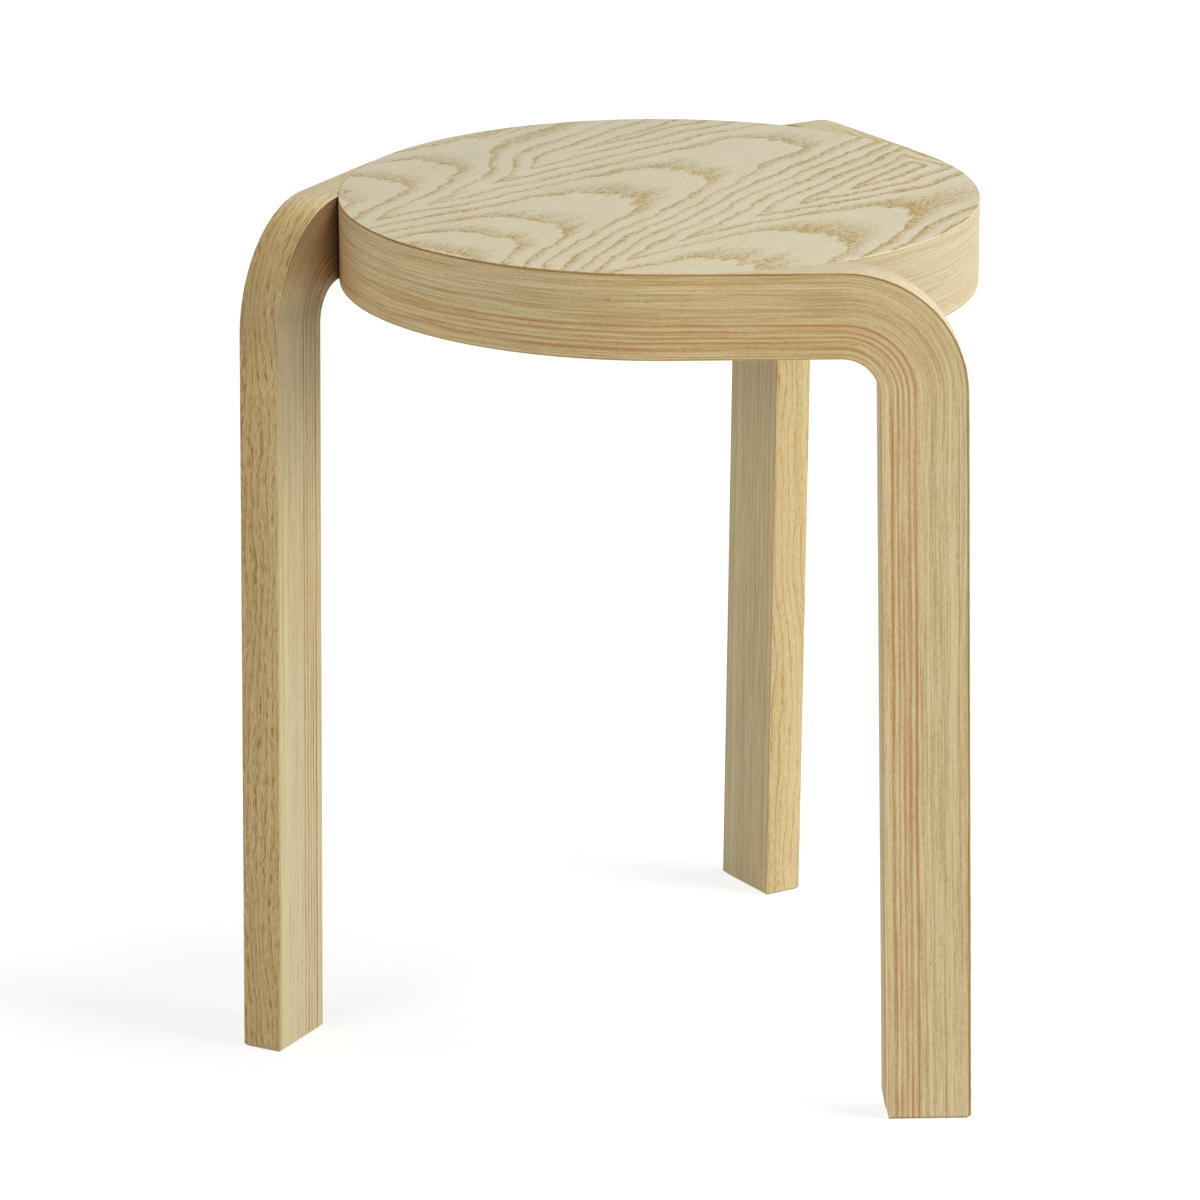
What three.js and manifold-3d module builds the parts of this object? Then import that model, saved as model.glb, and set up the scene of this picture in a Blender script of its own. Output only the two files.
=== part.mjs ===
// Three-legged stacking stool of form-pressed laminated ash.
// Three equal L-shaped bends make the round seat between them, like the blades of a pinwheel:
// each is a third of the disc, leaves the rim along its tangent and turns down into a leg.
// Units are millimetres, +Z is up, and the feet stand on Z = 0.

import * as THREE from 'three';
import { mergeVertices } from 'three/addons/utils/BufferGeometryUtils.js';
import Module from 'manifold-3d';

// Driving sizes
const SEAT_HEIGHT = 440;
const SEAT_RADIUS = 162;
const LEG_WIDTH = 21.7; // measured towards the seat's axis
const LEG_SPLAY_DEG = 1.15; // lean outwards, in the leg's own plane
const BEND_RADIUS = 62.5; // of the outer skin

// Lay-up of a bend, from its outer skin to its inner one
const FACE_VENEER = 0.7;
const PLY = 2.9;
const PLY_COUNT = 14;
const GLUE_LINE = 0.1;
const WARM_PLIES_FROM = 9; // plies from here to the inner skin are redder

// Loose tongues across the seat's three joints
const JOINT_GAP = 0.3;
const TONGUE_NEAR = 24; // from the seat's axis to the near end
const TONGUE_FAR_WALL = 30; // solid wood between the far end and the rim
const TONGUE_WIDTH = 28;
const TONGUE_PLAY = 0.2;
const TONGUE_CHAMFER = 0.8;
const TONGUE_PLIES = 2; // plies that a tongue takes the place of
const TONGUES = [
  { name: 'upper', firstPly: 4 },
  { name: 'lower', firstPly: 10 },
];

// Hand-sanded edges under each foot's outer and inner skins, one row to a bend
const FOOT_CUTS = [
  { outer: { inwards: 2.2, upwards: 2.2 }, inner: { inwards: 2.2, upwards: 8.6 } },
  { outer: { inwards: 5.8, upwards: 1.2 }, inner: { inwards: 1.2, upwards: 1.2 } },
  { outer: { inwards: 1.5, upwards: 1.5 }, inner: { inwards: 0.6, upwards: 0.6 } },
];

// Trims
const FOOT_CHAMFER = 1.5; // along the foot's side faces
const SHEET_GAP = 0.3; // between the round sheet and a bend's outer veneer
const TIP_WIDTH = 0.5; // the outer veneer starts where it is this wide
const OVERRUN = 5; // how far a cutting shape runs past what it cuts

// Facets
const RIM_SIDES = 60;
const BEND_CURVE_SEGMENTS = 5; // an arc gets two sides from each

const BEND_COUNT = FOOT_CUTS.length;
const SPLAY = THREE.MathUtils.degToRad(LEG_SPLAY_DEG);
const THIRD = (2 * Math.PI) / BEND_COUNT;
const RIM_STEP = (2 * Math.PI) / RIM_SIDES;
const PLY_PITCH = PLY + GLUE_LINE;
const THICKNESS = 2 * FACE_VENEER + GLUE_LINE + PLY_COUNT * PLY_PITCH;
const BEND_CENTRE_Z = SEAT_HEIGHT - BEND_RADIUS;

// The first bend's leg points along +X, with its outer side face on Y = -SEAT_RADIUS.
// The leg's inner side face meets the next bend's rim in a crease, and the bend starts there.
const TANGENT_ANGLE = -Math.PI / 2;
const LEG_INNER_Y = LEG_WIDTH - SEAT_RADIUS;
const CREASE_ANGLE = angleAtY(SEAT_RADIUS, LEG_INNER_Y);
const CREASE_X = SEAT_RADIUS * Math.cos(CREASE_ANGLE);
const BACK_JOINT_ANGLE = CREASE_ANGLE - THIRD;

const TONGUE_LENGTH = SEAT_RADIUS - TONGUE_FAR_WALL - TONGUE_NEAR;
const TONGUE_THICKNESS = TONGUE_PLIES * PLY_PITCH - GLUE_LINE;

const ASH_SHEET_COLOUR = 0xd5c9ad;
const ASH_FACE_COLOUR = 0xcdb98a;
const PALE_PLY_COLOUR = 0xcbb588;
const WARM_PLY_COLOUR = 0xbd9c6c;
const BIRCH_COLOUR = 0xd2bd92;
const OILED_ROUGHNESS = 0.55;
const RAW_ROUGHNESS = 0.8;

const wasm = await Module();
wasm.setup();

function toSolid(geometry) {
  const bare = geometry.clone();
  bare.deleteAttribute('normal');
  bare.deleteAttribute('uv');
  const merged = mergeVertices(bare);
  return new wasm.Manifold(new wasm.Mesh({
    numProp: 3,
    vertProperties: new Float32Array(merged.attributes.position.array),
    triVerts: new Uint32Array(merged.index.array),
  }));
}

function toGeometry(solid) {
  const mesh = solid.getMesh();
  const geometry = new THREE.BufferGeometry();
  geometry.setAttribute('position', new THREE.BufferAttribute(mesh.vertProperties, 3));
  geometry.setIndex(new THREE.BufferAttribute(mesh.triVerts, 1));
  geometry.computeVertexNormals();
  return geometry;
}

function polar(radius, angle) {
  return new THREE.Vector2(radius * Math.cos(angle), radius * Math.sin(angle));
}

// Angle at which a circle round the seat's axis crosses a line of constant Y, beyond the tangent.
function angleAtY(radius, y) {
  return -Math.PI / 2 + Math.acos(-y / radius);
}

// Corners of the rim's polygon that lie between two angles, clear of both.
function rimCorners(radius, from, to) {
  const corners = [];
  const margin = RIM_STEP / 2;
  for (let i = Math.ceil((from + margin) / RIM_STEP); i * RIM_STEP < to - margin; i += 1) {
    corners.push(polar(radius, i * RIM_STEP));
  }
  return corners;
}

// X of a leg's layer at a height, for its depth below the outer skin.
function legX(depth, z) {
  return CREASE_X + (BEND_RADIUS - depth) / Math.cos(SPLAY) + (BEND_CENTRE_Z - z) * Math.tan(SPLAY);
}

// The sanded edges lift the leg's end near both skins.
function footZ(depth, { outer, inner }) {
  const outerZ = outer.upwards * (1 - depth / outer.inwards);
  const innerZ = inner.upwards * (1 - (THICKNESS - depth) / inner.inwards);
  return Math.max(0, outerZ, innerZ);
}

// L-shaped outline of one layer in X and Z, from the seat's far side to the foot.
function layerProfile(depth, thickness, footCuts) {
  const top = SEAT_HEIGHT - depth;
  const farX = -SEAT_RADIUS - OVERRUN;
  const inner = depth + thickness;
  const flatFrom = footCuts.outer.inwards;
  const flatTo = THICKNESS - footCuts.inner.inwards;
  const cornerDepths = [flatFrom, flatTo].filter((at) => at > depth && at < inner);
  const outline = new THREE.Shape();
  outline.moveTo(farX, top);
  outline.absarc(CREASE_X, BEND_CENTRE_Z, BEND_RADIUS - depth, Math.PI / 2, SPLAY, true);
  for (const at of [depth, ...cornerDepths, inner]) {
    const z = footZ(at, footCuts);
    outline.lineTo(legX(at, z), z);
  }
  outline.absarc(CREASE_X, BEND_CENTRE_Z, BEND_RADIUS - inner, SPLAY, Math.PI / 2, false);
  outline.lineTo(farX, top - thickness);
  return outline;
}

// A layer as wide as the pressed blank, before its plan is cut.
function layerBlank(depth, thickness, footCuts) {
  const blank = new THREE.ExtrudeGeometry(layerProfile(depth, thickness, footCuts), {
    depth: SEAT_RADIUS + 2 * OVERRUN,
    bevelEnabled: false,
    curveSegments: BEND_CURVE_SEGMENTS,
  });
  blank.rotateX(Math.PI / 2);
  blank.translate(0, OVERRUN, 0);
  return toSolid(blank);
}

// A plan outline from the floor to above the seat.
function planPrism(outline) {
  const depth = SEAT_HEIGHT + OVERRUN;
  return toSolid(new THREE.ExtrudeGeometry(outline, { depth, bevelEnabled: false }));
}

// The same with its lower edges bevelled, which gives the foot its side chamfers.
function footedPrism(outline) {
  const prism = new THREE.ExtrudeGeometry(outline, {
    depth: SEAT_HEIGHT,
    bevelThickness: FOOT_CHAMFER,
    bevelSize: FOOT_CHAMFER,
    bevelOffset: -FOOT_CHAMFER,
    bevelSegments: 1,
  });
  prism.translate(0, 0, FOOT_CHAMFER);
  return toSolid(prism);
}

// Plan of a bend: its third of the disc with the leg's strip on the tangent.
function bendPlan() {
  const half = JOINT_GAP / 2;
  const legEnd = legX(0, 0) + OVERRUN;
  const creaseAlong = (LEG_INNER_Y + half * Math.cos(CREASE_ANGLE)) / Math.sin(CREASE_ANGLE);
  return new THREE.Shape([
    polar(half / Math.sin(THIRD / 2), (BACK_JOINT_ANGLE + CREASE_ANGLE) / 2),
    polar(SEAT_RADIUS, BACK_JOINT_ANGLE + Math.asin(half / SEAT_RADIUS)),
    ...rimCorners(SEAT_RADIUS, BACK_JOINT_ANGLE, TANGENT_ANGLE),
    polar(SEAT_RADIUS, TANGENT_ANGLE),
    new THREE.Vector2(legEnd, -SEAT_RADIUS),
    new THREE.Vector2(legEnd, LEG_INNER_Y),
    polar(creaseAlong, CREASE_ANGLE).add(polar(half, CREASE_ANGLE - Math.PI / 2)),
  ]);
}

// A tongue's slot across a joint, of which each bend beside the joint holds half.
function tongueSlot(angle) {
  const length = TONGUE_LENGTH + 2 * TONGUE_PLAY;
  const width = TONGUE_WIDTH + 2 * TONGUE_PLAY;
  const slot = new THREE.BoxGeometry(length, width, SEAT_HEIGHT);
  slot.translate(TONGUE_NEAR + TONGUE_LENGTH / 2, 0, SEAT_HEIGHT / 2);
  slot.rotateZ(angle);
  return toSolid(slot);
}

// Plan of the outer veneer: what the round sheet leaves of the bend, from a narrow tip outwards.
function outerVeneerPlan() {
  const inside = SEAT_RADIUS + SHEET_GAP;
  const tipAngle = angleAtY(inside, TIP_WIDTH - SEAT_RADIUS);
  const creaseAngle = angleAtY(inside, LEG_INNER_Y);
  const tip = polar(inside, tipAngle);
  const legEnd = legX(0, 0) + OVERRUN;
  return new THREE.Shape([
    tip,
    new THREE.Vector2(tip.x, -SEAT_RADIUS),
    new THREE.Vector2(legEnd, -SEAT_RADIUS),
    new THREE.Vector2(legEnd, LEG_INNER_Y),
    polar(inside, creaseAngle),
    ...rimCorners(inside, tipAngle, creaseAngle).reverse(),
  ]);
}

function plyDepth(ply) {
  return FACE_VENEER + GLUE_LINE + (ply - 1) * PLY_PITCH;
}

function holdsTongue(ply) {
  return TONGUES.some(({ firstPly }) => ply >= firstPly && ply < firstPly + TONGUE_PLIES);
}

// The plans that a bend's layers are cut to, as tall prisms.
function layerPrisms() {
  const plain = footedPrism(bendPlan());
  const slotted = plain.subtract(tongueSlot(BACK_JOINT_ANGLE)).subtract(tongueSlot(CREASE_ANGLE));
  const veneer = plain.intersect(planPrism(outerVeneerPlan()));
  return { plain, slotted, veneer };
}

// The layers of one bend, from its outer skin to its inner one.
function bendLayers({ plain, slotted, veneer }, footCuts) {
  const cut = (depth, thickness, prism) => {
    return toGeometry(layerBlank(depth, thickness, footCuts).intersect(prism));
  };
  const layers = [{
    name: 'outer_veneer',
    geometry: cut(0, FACE_VENEER, veneer),
    colour: ASH_FACE_COLOUR,
  }];
  for (let ply = 1; ply <= PLY_COUNT; ply += 1) {
    layers.push({
      name: `ply_${String(ply).padStart(2, '0')}`,
      geometry: cut(plyDepth(ply), PLY, holdsTongue(ply) ? slotted : plain),
      colour: ply < WARM_PLIES_FROM ? PALE_PLY_COLOUR : WARM_PLY_COLOUR,
    });
  }
  layers.push({
    name: 'inner_veneer',
    geometry: cut(THICKNESS - FACE_VENEER, FACE_VENEER, plain),
    colour: ASH_FACE_COLOUR,
  });
  return layers;
}

// A plywood tongue with its long edges chamfered, lying along +X from its near end.
function tongueGeometry() {
  const halfWidth = TONGUE_WIDTH / 2;
  const halfThickness = TONGUE_THICKNESS / 2;
  const section = new THREE.Shape();
  section.moveTo(-halfThickness, -halfWidth + TONGUE_CHAMFER);
  section.lineTo(-halfThickness + TONGUE_CHAMFER, -halfWidth);
  section.lineTo(halfThickness - TONGUE_CHAMFER, -halfWidth);
  section.lineTo(halfThickness, -halfWidth + TONGUE_CHAMFER);
  section.lineTo(halfThickness, halfWidth - TONGUE_CHAMFER);
  section.lineTo(halfThickness - TONGUE_CHAMFER, halfWidth);
  section.lineTo(-halfThickness + TONGUE_CHAMFER, halfWidth);
  section.lineTo(-halfThickness, halfWidth - TONGUE_CHAMFER);
  const tongue = new THREE.ExtrudeGeometry(section, { depth: TONGUE_LENGTH, bevelEnabled: false });
  tongue.rotateY(Math.PI / 2);
  return tongue;
}

function part(name, geometry, color, roughness) {
  const mesh = new THREE.Mesh(
    geometry,
    new THREE.MeshStandardMaterial({ color, roughness, metalness: 0 }),
  );
  mesh.name = name;
  return mesh;
}

// The round sheet, whose edge is flush with the rim.
function seatVeneer() {
  const corners = Array.from({ length: RIM_SIDES }, (_, i) => polar(SEAT_RADIUS, i * RIM_STEP));
  const sheet = new THREE.ExtrudeGeometry(new THREE.Shape(corners), {
    depth: FACE_VENEER,
    bevelEnabled: false,
  });
  const mesh = part('seat_veneer', sheet, ASH_SHEET_COLOUR, OILED_ROUGHNESS);
  mesh.position.z = SEAT_HEIGHT - FACE_VENEER;
  return mesh;
}

// A tongue in the joint at the crease, half in this bend and half in the next.
function jointTongue(number, { name, firstPly }) {
  const mesh = part(`tongue_${number}_${name}`, tongueGeometry(), BIRCH_COLOUR, RAW_ROUGHNESS);
  const middleDepth = plyDepth(firstPly) + TONGUE_THICKNESS / 2;
  const nearEnd = polar(TONGUE_NEAR, CREASE_ANGLE);
  mesh.position.set(nearEnd.x, nearEnd.y, SEAT_HEIGHT - middleDepth);
  mesh.rotation.z = CREASE_ANGLE;
  return mesh;
}

function makeStool() {
  const stool = new THREE.Group();
  stool.add(seatVeneer());
  const prisms = layerPrisms();
  FOOT_CUTS.forEach((footCuts, index) => {
    const number = index + 1;
    const bend = new THREE.Group();
    bend.rotation.z = index * THIRD;
    for (const { name, geometry, colour } of bendLayers(prisms, footCuts)) {
      bend.add(part(`bend_${number}_${name}`, geometry, colour, OILED_ROUGHNESS));
    }
    for (const tongue of TONGUES) {
      bend.add(jointTongue(number, tongue));
    }
    stool.add(bend);
  });
  // The origin is on the floor under the middle of the whole stool.
  const middle = new THREE.Box3().setFromObject(stool, true).getCenter(new THREE.Vector3());
  stool.position.set(-middle.x, -middle.y, 0);
  return stool;
}

export default makeStool();
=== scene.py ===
"""Three-legged stacking stool of form-pressed laminated ash.

Three equal L-shaped bends make the round seat between them, and a round sheet of flame-figured
ash lies over them. Every layer of the lay-up is a piece of its own.
"""

import math

import bmesh
import bpy
from bpy.props import FloatProperty, FloatVectorProperty, IntProperty, PointerProperty
from bpy.types import Operator, Panel, PropertyGroup
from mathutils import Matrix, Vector


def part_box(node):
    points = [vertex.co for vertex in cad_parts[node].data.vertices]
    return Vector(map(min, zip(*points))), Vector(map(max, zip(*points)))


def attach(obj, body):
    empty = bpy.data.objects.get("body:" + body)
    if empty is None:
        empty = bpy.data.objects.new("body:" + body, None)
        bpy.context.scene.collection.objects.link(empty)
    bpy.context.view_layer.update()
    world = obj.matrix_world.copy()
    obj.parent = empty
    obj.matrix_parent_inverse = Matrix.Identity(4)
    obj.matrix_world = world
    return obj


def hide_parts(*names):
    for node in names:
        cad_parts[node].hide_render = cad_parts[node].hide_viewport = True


bl_info = {
    "name": "Stacking Stool",
    "version": (1, 0, 0),
    "blender": (4, 5, 0),
    "location": "View3D > Sidebar > Stool",
    "description": "Models and finishes a three-legged stacking stool of laminated ash",
    "category": "Object",
}

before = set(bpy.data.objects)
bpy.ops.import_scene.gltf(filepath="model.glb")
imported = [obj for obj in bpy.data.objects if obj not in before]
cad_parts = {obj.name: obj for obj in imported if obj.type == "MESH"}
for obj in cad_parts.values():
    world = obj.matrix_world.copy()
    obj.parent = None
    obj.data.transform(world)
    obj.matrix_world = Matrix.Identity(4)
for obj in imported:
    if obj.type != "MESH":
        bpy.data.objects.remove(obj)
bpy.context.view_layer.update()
SHEET_LOW, SHEET_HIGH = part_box("seat_veneer")

MM = 0.001
BENDS = (1, 2, 3)
THIRD = 2 * math.pi / len(BENDS)
PLY_COUNT = 14
WARM_PLIES_FROM = 9
SLOTTED_PLIES = (4, 5, 10, 11)
FINE = 0.001 * MM  # places closer than this are one place
WELD = 50 * FINE  # corners of a flat plan closer than this are one corner
SLACK = 20 * FINE  # how far a corner may lie from the edge that it belongs to
FACING = 0.99  # least cosine between a face's normal and the way that it looks
BEVEL_SEGMENTS = 2
SMOOTH_BELOW = math.radians(30)
PAST_FLOOR = 10 * MM  # how far an uncut leg runs on below the floor
THROUGH = 4  # a cutter is so many times as deep as what it cuts
TIP_WIDTH = 0.12 * MM  # the veneer over a leg starts where it is this wide

# Sanded edges under each foot, in mm: the outer skin's cut inwards and upwards, then the inner's
FOOT_CUTS = {
    1: ((2.2, 2.2), (2.2, 8.6)),
    2: ((5.8, 1.2), (1.2, 1.2)),
    3: ((1.5, 1.5), (0.6, 0.6)),
}


def length(name, description, default):
    """A length property, shown to a hundredth of a millimetre."""
    return FloatProperty(
        name=name, description=description, default=default, unit="LENGTH", precision=5
    )


class StoolSizes(PropertyGroup):
    seat_height: length("Seat height", "Top of the round sheet above the floor", SHEET_HIGH[2])
    seat_radius: length(
        "Seat radius",
        "Radius of the round sheet and of the rim under it",
        (SHEET_HIGH[0] - SHEET_LOW[0]) / 2,
    )
    thickness: length("Thickness", "Whole lay-up from the outer skin to the inner one", 43.5 * MM)
    face_veneer: length("Face veneer", "Thickness of the round sheet and face veneers", 0.7 * MM)
    leg_width: length("Leg width", "Width of a leg towards the seat's axis", 21.7 * MM)
    bend_radius: length("Bend radius", "Radius of the outer skin where it turns down", 62.5 * MM)
    joint_seam: length("Joint seam", "Hairline between two bends in the seat", 0.1 * MM)
    sheet_seam: length(
        "Sheet seam", "Hairline between the round sheet and the veneer over a leg", 0.15 * MM
    )
    glue_seam: length("Glue seam", "Hairline between two plies", 0.02 * MM)
    edge_softness: length("Edge softness", "Width of the veneers' sanded edges", 0.35 * MM)
    foot_chamfer: length("Foot chamfer", "Chamfer under the side faces of a foot", 1.5 * MM)
    splay: FloatProperty(
        name="Splay",
        description="Lean of a leg outwards",
        default=math.radians(1.15),
        unit="ROTATION",
    )
    rim_sides: IntProperty(
        name="Rim sides", description="Sides of the whole rim", default=180, min=60, max=720
    )
    bend_steps: IntProperty(
        name="Bend steps", description="Steps of a leg's turn", default=24, min=6, max=96
    )


def colour(name, description, red, green, blue):
    """A colour property whose default is given in the usual 0 to 255 screen values."""

    def linear(value):
        value /= 255
        return value / 12.92 if value <= 0.04045 else ((value + 0.055) / 1.055) ** 2.4

    return FloatVectorProperty(
        name=name,
        description=description,
        subtype="COLOR",
        size=3,
        min=0,
        max=1,
        default=(linear(red), linear(green), linear(blue)),
    )


class StoolColours(PropertyGroup):
    sheet_pale: colour("Sheet, pale", "Early wood of the round sheet", 221, 211, 181)
    sheet_line: colour("Sheet, lines", "Late wood of the round sheet", 178, 148, 82)
    face_pale: colour("Veneer, pale", "Early wood of the face veneers", 220, 197, 142)
    face_line: colour("Veneer, lines", "Late wood of the face veneers", 186, 154, 94)
    face_cream: colour("Veneer, cream", "Early wood of the inner face veneers", 217, 197, 145)
    face_gold: colour("Veneer, gold", "Lines and flecks of the inner face veneers", 186, 140, 70)
    face_fleck: colour("Veneer, flecks", "Short flecks of the face veneers", 164, 113, 48)
    veneer_edge: colour("Veneer, cut edge", "Cut edge of the sheet and face veneers", 184, 146, 70)
    sheet_edge: colour("Sheet, cut edge", "Darkest parts of the sheet's cut edge", 126, 88, 42)
    # Painted sheen on the tops of the outer veneers
    top_sheen: colour("Veneer, top", "Outer veneers, beside the round sheet", 226, 216, 180)
    # Painted highlight where an outer veneer turns down
    turn_highlight: colour("Veneer, turn", "Outer veneers where they turn down", 238, 231, 214)
    # Painted sheen that makes the second bend's rim paler
    rim_sheen: colour("Edge, palest", "Palest ply edges", 212, 201, 169)
    leg_pale: colour("Edge, pale leg", "Palest ply edges of the left leg", 246, 230, 184)
    # Painted highlight on the cut edges and arrises of the veneers
    veneer_glint: colour("Veneer, pale cut edge", "Palest cut edge of a face veneer", 240, 225, 172)
    edge_pale: colour("Edge, pale", "Pale part of the ply edges", 226, 208, 163)
    edge_tan: colour("Edge, tan", "Fine lines of the ply edges", 190, 160, 106)
    edge_warm: colour("Edge, warm", "Fine lines of the warmer ply edges", 194, 157, 98)
    glue: colour("Edge, glue line", "Dark line under the round sheet", 148, 110, 56)
    edge_red: colour("Edge, red", "Red-brown lines of the ply edges", 186, 138, 82)
    edge_fleck: colour("Edge, flecks", "Small dark flecks of the ply edges", 138, 98, 56)
    # Painted shade in the crease beside a leg, darkest in a line at the joint
    crease: colour("Edge, crease", "Dust and lacquer in the crease beside a leg", 86, 56, 37)
    # Painted shade that the seat casts on a leg's side, also used at the far end of each rim
    notch_shade: colour("Edge, dust", "Darkened wood on a leg's side beside the seat", 155, 106, 60)
    tongue: colour("Tongue, pale", "Pale layers of the loose tongues", 218, 199, 156)
    tongue_line: colour("Tongue, lines", "Darker layers and fibres of the tongues", 182, 148, 98)
    floor: colour("Floor", "Plain pale floor", 168, 168, 168)


class Lay:
    """Where the first bend's layers lie, about the seat's axis, with its leg towards +X."""

    def __init__(self, sizes):
        self.sizes = sizes
        self.radius = sizes.seat_radius
        self.top = sizes.seat_height
        self.thickness = sizes.thickness
        self.turn_z = sizes.seat_height - sizes.bend_radius
        self.joint_angle = math.acos((self.radius - sizes.leg_width) / self.radius) - math.pi / 2
        self.turn_x = self.radius * math.cos(self.joint_angle)
        # The side of the leg stands back from the next bend's rim by the joint's seam
        normal = self.joint_normal()
        self.leg_inner_y = -(sizes.joint_seam / 2 + normal.x * self.turn_x) / normal.y

    def joint_normal(self):
        """Across the joint to the next bend, from the bend that is modelled."""
        return Vector((-math.sin(self.joint_angle), math.cos(self.joint_angle), 0))

    def back_normal(self):
        """Across the joint to the bend before."""
        angle = self.joint_angle - THIRD
        return Vector((math.sin(angle), -math.cos(angle), 0))

    def leg_direction(self):
        return Vector((math.sin(self.sizes.splay), 0, -math.cos(self.sizes.splay)))

    def leg_x(self, depth, z):
        splay = self.sizes.splay
        reach = (self.sizes.bend_radius - depth) / math.cos(splay)
        return self.turn_x + reach + (self.turn_z - z) * math.tan(splay)

    def ply_depths(self):
        """Depth and thickness of each ply between the two face veneers."""
        sizes = self.sizes
        inside = self.thickness - 2 * sizes.face_veneer - sizes.glue_seam
        pitch = inside / PLY_COUNT
        first = sizes.face_veneer + sizes.glue_seam
        return [(first + i * pitch, pitch - sizes.glue_seam) for i in range(PLY_COUNT)]

    def grain(self, place, along_rim):
        """Distance along the fibres, across them, and below the outer skin."""
        if place.x <= 0 and along_rim:
            angle = math.atan2(-place.x, -place.y)
            reach = math.hypot(place.x, place.y)
            return -self.radius * angle, self.radius - reach, self.top - place.z
        across = place.y + self.radius
        if place.x <= self.turn_x:
            return place.x, across, self.top - place.z
        # Beyond the turn's start, in the plane of the leg
        arm = Vector((place.x - self.turn_x, place.z - self.turn_z))
        turned = math.atan2(arm.x, arm.y)
        full = math.pi / 2 - self.sizes.splay
        if turned <= full:
            depth = self.sizes.bend_radius - arm.length
            return self.turn_x + turned * arm.length, across, depth
        down = self.leg_direction()
        run = arm.x * down.x + arm.y * down.z
        reach = arm.x * -down.z + arm.y * down.x
        return self.turn_x + full * reach + run, across, self.sizes.bend_radius - reach


def deselect_objects():
    if bpy.context.mode != "OBJECT":
        bpy.ops.object.mode_set(mode="OBJECT")
    bpy.ops.object.select_all(action="DESELECT")


def pick(piece):
    """Selects one object alone."""
    deselect_objects()
    bpy.context.view_layer.objects.active = piece
    piece.select_set(True)


def edit(piece):
    """Opens a piece for editing, with nothing of it selected."""
    pick(piece)
    bpy.ops.object.mode_set(mode="EDIT")
    bpy.ops.mesh.select_mode(type="FACE")
    bpy.ops.mesh.select_all(action="DESELECT")


def done_editing():
    bpy.ops.object.mode_set(mode="OBJECT")


def select_parts(kind, wanted):
    """Selects the faces or edges that pass a test, and stops where there are none."""
    data = bpy.context.object.data
    mesh = bmesh.from_edit_mesh(data)
    bpy.ops.mesh.select_all(action="DESELECT")
    bpy.ops.mesh.select_mode(type=kind)
    mesh.normal_update()
    parts = [part for part in (mesh.faces if kind == "FACE" else mesh.edges) if wanted(part)]
    for part in parts:
        part.select_set(True)
    bmesh.update_edit_mesh(data)
    if not parts:
        raise RuntimeError(f"{bpy.context.object.name}: no {kind.lower()} to work on")


def select_faces(wanted):
    """Selects the faces whose middle and normal pass a test."""
    select_parts("FACE", lambda face: wanted(face.calc_center_median(), face.normal))


def select_edges(wanted):
    """Selects the edges whose two ends pass a test."""
    select_parts("EDGE", lambda edge: wanted(edge.verts[0].co, edge.verts[1].co))


def cut_off(point, normal, fill=True, below=math.inf):
    """Cuts away what lies beyond a plane, of the faces whose middle is below a height."""
    mesh = bmesh.from_edit_mesh(bpy.context.object.data)
    beyond = [
        (vertex.co - point).dot(normal) > FINE
        for face in mesh.faces
        if face.calc_center_median().z < below
        for vertex in face.verts
    ]
    if not any(beyond):
        return
    select_faces(lambda middle, _: middle.z < below)
    bpy.ops.mesh.bisect(
        plane_co=point,
        plane_no=normal,
        use_fill=fill,
        clear_outer=True,
        threshold=FINE,
    )


def extrude(direction):
    bpy.ops.mesh.extrude_region_move(TRANSFORM_OT_translate={"value": tuple(direction)})


def face_outwards():
    bpy.ops.mesh.select_all(action="SELECT")
    bpy.ops.mesh.remove_doubles(threshold=FINE)
    bpy.ops.mesh.normals_make_consistent(inside=False)


def thicken_and_bend(lay, thickness):
    """Gives a flat plan its thickness, turns it down round the bend and runs it past the floor."""
    sizes = lay.sizes
    bpy.ops.mesh.select_all(action="SELECT")
    bpy.ops.mesh.remove_doubles(threshold=WELD)
    bpy.ops.mesh.select_all(action="SELECT")
    extrude((0, 0, -thickness))
    face_outwards()
    select_faces(lambda middle, normal: normal.x > FACING and middle.x > lay.turn_x - MM)
    bpy.ops.mesh.spin(
        steps=sizes.bend_steps,
        angle=sizes.splay - math.pi / 2,
        center=(lay.turn_x, 0, lay.turn_z),
        axis=(0, 1, 0),
    )
    extrude(lay.leg_direction() * (lay.turn_z + PAST_FLOOR))
    face_outwards()


def third_blank(lay, name, depth, thickness):
    """A layer of the first bend with its third of the disc, its leg still uncut."""
    sizes = lay.sizes
    seam = sizes.joint_seam / 2
    deselect_objects()
    bpy.ops.mesh.primitive_circle_add(
        vertices=sizes.rim_sides,
        radius=lay.radius,
        fill_type="NGON",
        location=(0, 0, lay.top - depth),
    )
    blank = bpy.context.object
    blank.name = name
    bpy.ops.object.transform_apply()
    edit(blank)
    cut_off(lay.back_normal() * -seam, lay.back_normal(), fill=False)
    cut_off(Vector((0, 0, 0)), Vector((1, 0, 0)), fill=False)
    select_edges(lambda a, b: abs(a.x) < FINE and abs(b.x) < FINE)
    extrude((lay.turn_x, 0, 0))
    cut_off(lay.joint_normal() * -seam, lay.joint_normal(), fill=False)
    thicken_and_bend(lay, thickness)
    done_editing()
    return blank


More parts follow.
